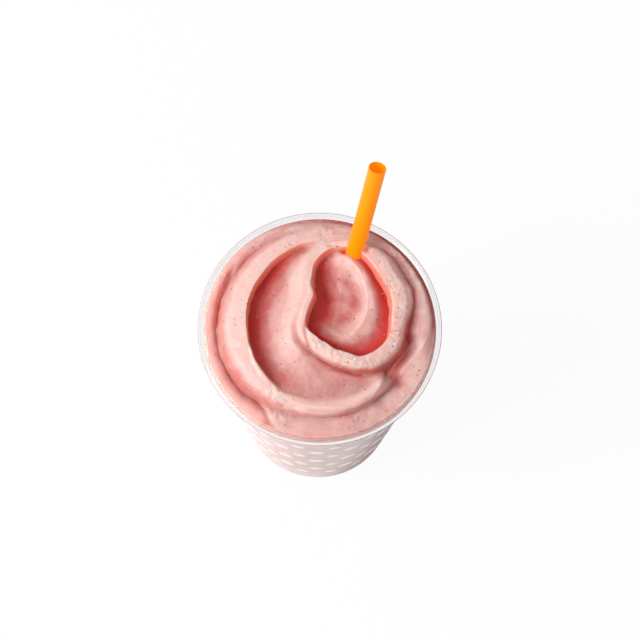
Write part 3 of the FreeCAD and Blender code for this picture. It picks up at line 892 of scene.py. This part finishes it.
def cupProfile():  # round the whole wall: up the outside, over the rolled rim and down the inside
    wall = cupForm["wall"]
    base = cupForm["baseRadius"]
    foot = base - cupForm["cornerWidth"]
    inner = foot - cupForm["footWidth"]
    punt = inner - cupForm["puntSlope"]
    puntLevel = cupForm["puntHeight"]
    roll = cupForm["rollRadius"]
    rollX, rollZ = rimRadius - roll, rimHeight - roll
    neckLevel = stepLevel + cupForm["neckSlope"]
    corner = cupForm["cornerHeight"]
    insideCorner = corner + cornerShift
    steps = cupForm["taperSteps"]
    profile = [(0.5 * punt, puntLevel), (punt, puntLevel), (inner, 0), (foot, 0), (base, corner)]
    for step in range(1, steps + 1):
        share = step / steps
        profile.append((base + (taperRadius + wall - base) * share, corner + (stepLevel - corner) * share))
    profile.append((mouthRadius + wall, neckLevel))
    for turn in range(180, -91, -15):       # up and over inside the rolled rim
        angle = math.radians(turn)
        profile.append((rollX + (roll - wall) * math.cos(angle), rollZ + (roll - wall) * math.sin(angle)))
    for turn in range(-90, 181, 10):        # back round its outside
        angle = math.radians(turn)
        profile.append((rollX + roll * math.cos(angle), rollZ + roll * math.sin(angle)))
    profile.append((mouthRadius, neckLevel))
    for step in range(steps + 1):
        share = 1 - step / steps
        profile.append((base - wall + (taperRadius - base + wall) * share,
                        insideCorner + (stepLevel - insideCorner) * share))
    profile += [(foot - cornerShift, wall), (inner, wall), (punt, puntLevel + wall),
                (0.5 * punt, puntLevel + wall)]
    return profile


def makeCup():
    piece = turnProfile(cupProfile(), cupForm["facets"])
    # close the raised floor in the middle, below and above
    for level in (cupForm["puntHeight"], cupForm["puntHeight"] + cupForm["wall"]):
        makeActive(piece)
        selectBoundary(piece, lambda middle: abs(middle.z - level) < 0.01 * mm)
        bpy.ops.mesh.extrude_edges_move()
        bpy.ops.mesh.merge(type="CENTER")
        bpy.ops.object.mode_set(mode="OBJECT")
    closeUp(piece)
    applyModifier(piece, "BEVEL", width=cupForm["edgeRound"], segments=2, limit_method="ANGLE",
                  angle_limit=math.radians(18))
    smoothShade(piece, angle=40)
    return piece


clearLook = {
    # the slight pink in the tint is a painted reflection of the smoothie
    "tint": (60.0, evenly, (0.93, 0.91, 0.91), (0.97, 0.96, 0.96)),
    "roughness": (180.0, evenly, 0.02, 0.06),
    "relief": (40.0, evenly, 0.04, 0.05 * mm),
    "shader": {"IOR": 1.36, "Specular IOR Level": 0.3, "Transmission Weight": 1.0},
    "shadowTint": (0.95, 0.96, 0.95, 1),    # what the lamps' light keeps on its way through
}


def makeClearMaterial():
    material, tree, shader = makeGrainyMaterial("clearPlastic", clearLook)
    lampsThrough = addNode(tree, "ShaderNodeBsdfTransparent", {"Color": clearLook["shadowTint"]})
    path = addNode(tree, "ShaderNodeLightPath")
    mixSurface(tree, path.outputs["Is Shadow Ray"], shader, lampsThrough)
    return material


finishPiece(makeCup(), "clearCup", makeClearMaterial(), "cup")


printForm = {
    "thickness": 0.05 * mm,
    "lift": 0.01 * mm,
    "bands": ((104.0, 1.2), (100.5, 0.7), (12.0, 1.2)),     # level and width in mm
    "dotRows": (                                            # level and radius in mm
        (92.0, 2.6), (80.0, 3.2), (68.0, 2.6), (56.0, 3.2), (44.0, 2.6), (32.0, 3.2), (21.0, 2.6),
    ),
    "dotsRound": 18,
    "dotFacets": 28,
}


def wallRadius(level):  # the cup's outside between its corner and its neck
    share = (level - cupForm["cornerHeight"]) / (stepLevel - cupForm["cornerHeight"])
    return cupForm["baseRadius"] + (taperRadius + cupForm["wall"] - cupForm["baseRadius"]) * share


def makeBand(level, width):
    low, high = level - width / 2, level + width / 2
    near, far = printForm["lift"], printForm["lift"] + printForm["thickness"]
    profile = [(wallRadius(low) + near, low), (wallRadius(low) + far, low), (wallRadius(high) + far, high),
               (wallRadius(high) + near, high), (wallRadius(low) + near, low)]
    piece = turnProfile(profile, cupForm["facets"])
    closeUp(piece)
    return piece


def makeDot(radius):  # a thin flat disc, which is wrapped on the wall later
    startFresh()
    bpy.ops.mesh.primitive_circle_add(vertices=printForm["dotFacets"], radius=radius, fill_type="TRIFAN")
    dot = bpy.context.object
    bpy.ops.object.mode_set(mode="EDIT")
    bpy.ops.mesh.select_all(action="SELECT")
    bpy.ops.mesh.extrude_region_move(TRANSFORM_OT_translate={"value": (0, 0, printForm["thickness"])})
    bpy.ops.object.mode_set(mode="OBJECT")
    return dot


def wrapOnWall(piece, level, bearing):  # x runs round the wall, y up it, z out of it
    flat = readPoints(piece)
    height = level + flat[:, 1]
    radius = wallRadius(height) + printForm["lift"] + flat[:, 2]
    angle = bearing + flat[:, 0] / wallRadius(level)
    writePoints(piece, np.column_stack((radius * np.cos(angle), radius * np.sin(angle), height)))


def makePrint():
    pieces = [makeBand(level * mm, width * mm) for level, width in printForm["bands"]]
    count = printForm["dotsRound"]
    for row, (level, radius) in enumerate(printForm["dotRows"]):
        pattern = makeDot(radius * mm)
        for turn in range(count):       # every second row is set off by half a gap
            dot = copyShape(pattern)
            wrapOnWall(dot, level * mm, 2 * math.pi * (turn + 0.5 * (row % 2)) / count)
            pieces.append(dot)
        bpy.data.objects.remove(pattern)
    piece = joinPieces(pieces)
    closeUp(piece)
    smoothShade(piece, angle=30)
    return piece


inkLook = {
    "tint": (500.0, evenly, (0.95, 0.94, 0.93), (0.99, 0.98, 0.97)),
    "roughness": (700.0, evenly, 0.32, 0.48),
}
inkMaterial = makeGrainyMaterial("whiteInk", inkLook)[0]
finishPiece(makePrint(), "cupPrint", inkMaterial)


def makeStraw():
    outer, inner = strawForm["radius"], strawForm["radius"] - strawForm["wall"]
    length, lip, steps = strawForm["length"], strawForm["lip"], strawForm["lengthSteps"]
    levels = [length * step / steps for step in range(1, steps)]
    profile = [(inner, lip), (inner + lip, 0), (outer - lip, 0), (outer, lip)]
    profile += [(outer, level) for level in levels]
    profile += [(outer, length - lip), (outer - lip, length), (inner + lip, length), (inner, length - lip)]
    profile += [(inner, level) for level in reversed(levels)]
    profile.append((inner, lip))
    piece = turnProfile(profile, strawForm["facets"])
    piece.data.transform(strawPlace)
    closeUp(piece)
    smoothShade(piece, angle=40)
    return piece


strawLook = {
    # the grain is drawn out along the straw
    "tint": (260.0, (1, 1, 0.2), (0.98, 0.22, 0.0), (1.0, 0.27, 0.0)),
    "roughness": (420.0, (1, 1, 0.15), 0.26, 0.40),
    "relief": (300.0, (1, 1, 0.1), 0.08, 0.05 * mm),
    "shader": {
        "Specular IOR Level": 0.15,
        "Emission Color": (1.0, 0.32, 0.0, 1),      # painted glow for the light that comes through it; the straw is no lamp
        "Emission Strength": 0.35,
    },
}
strawMaterial = makeGrainyMaterial("orangeStraw", strawLook)[0]
finishPiece(makeStraw(), "drinkingStraw", strawMaterial, "straw")


studio = {
    "floorSize": 6.0,
    "floorWhite": 0.94,             # how far the floor is lifted to white; the rest keeps the shadow
    "keyAim": (-0.80, -0.24, 0.76),     # from the drink towards the lamp
    "keyDistance": 1.1,
    "keySize": 0.62,
    "keyPower": 11.3,
    "fillLight": 0.46,
    "elevation": 72.0,              # the camera's, and its roll, in degrees
    "roll": 1.35,
    "distance": 1.0,
    "lens": 140.6,
    "aimUp": 2.6 * mm,
    "aimRight": 0.11 * mm,
}
floorLook = {
    "tint": (3.0, evenly, (0.93, 0.93, 0.93), (0.96, 0.96, 0.96)),
    "shader": {"Roughness": 0.9, "Specular IOR Level": 0.1},
}


def makeFloor():
    startFresh()
    bpy.ops.mesh.primitive_plane_add(size=studio["floorSize"])
    floor = bpy.context.object
    floor.name = "studioFloor"
    material, tree, shader = makeGrainyMaterial("paleFloor", floorLook)
    seen = addNode(tree, "ShaderNodeLightPath").outputs
    bright = addMath(tree, "MAXIMUM", seen["Is Camera Ray"], seen["Is Transmission Ray"])
    plainWhite = addNode(tree, "ShaderNodeEmission", {"Color": (1, 1, 1, 1), "Strength": 1.0})
    mixSurface(tree, addMath(tree, "MULTIPLY", bright, studio["floorWhite"]), shader, plainWhite)
    floor.data.materials.append(material)


def makeLight():
    world = bpy.data.worlds.new("softRoom")
    bpy.context.scene.world = world
    world.use_nodes = True
    setInputs(world.node_tree.nodes["Background"],
              {"Color": (1, 1, 1, 1), "Strength": studio["fillLight"]})
    lamp = bpy.data.lights.new("keyLamp", "AREA")
    lamp.shape = "DISK"
    lamp.size = studio["keySize"]
    lamp.energy = studio["keyPower"]
    key = bpy.data.objects.new("keyLamp", lamp)
    bpy.context.scene.collection.objects.link(key)
    toward = Vector(studio["keyAim"]).normalized()
    key.matrix_world = (Matrix.Translation(Vector((0, 0, rimHeight)) + toward * studio["keyDistance"])
                        @ toward.to_track_quat("Z", "Y").to_matrix().to_4x4())


def makeCamera():
    lens = bpy.data.cameras.new("studioCamera")
    lens.lens = studio["lens"]
    lens.sensor_width = 36
    lens.clip_start = 0.01
    camera = bpy.data.objects.new("studioCamera", lens)
    bpy.context.scene.collection.objects.link(camera)
    tilt = math.radians(studio["elevation"])
    roll = math.radians(studio["roll"])
    back = Vector((0, -math.cos(tilt), math.sin(tilt)))
    level, upward = Vector((1, 0, 0)), Vector((0, math.sin(tilt), math.cos(tilt)))
    right = level * math.cos(roll) + upward * math.sin(roll)
    up = upward * math.cos(roll) - level * math.sin(roll)
    aim = Vector((0, 0, rimHeight)) + up * studio["aimUp"] + right * studio["aimRight"]
    turn = Matrix((right, up, back)).transposed().to_4x4()
    camera.matrix_world = Matrix.Translation(aim + back * studio["distance"]) @ turn
    bpy.context.scene.camera = camera


makeFloor()
makeLight()
makeCamera()
bpy.context.scene.view_settings.view_transform = "Standard"
print("studio ready")

bpy.context.view_layer.update()
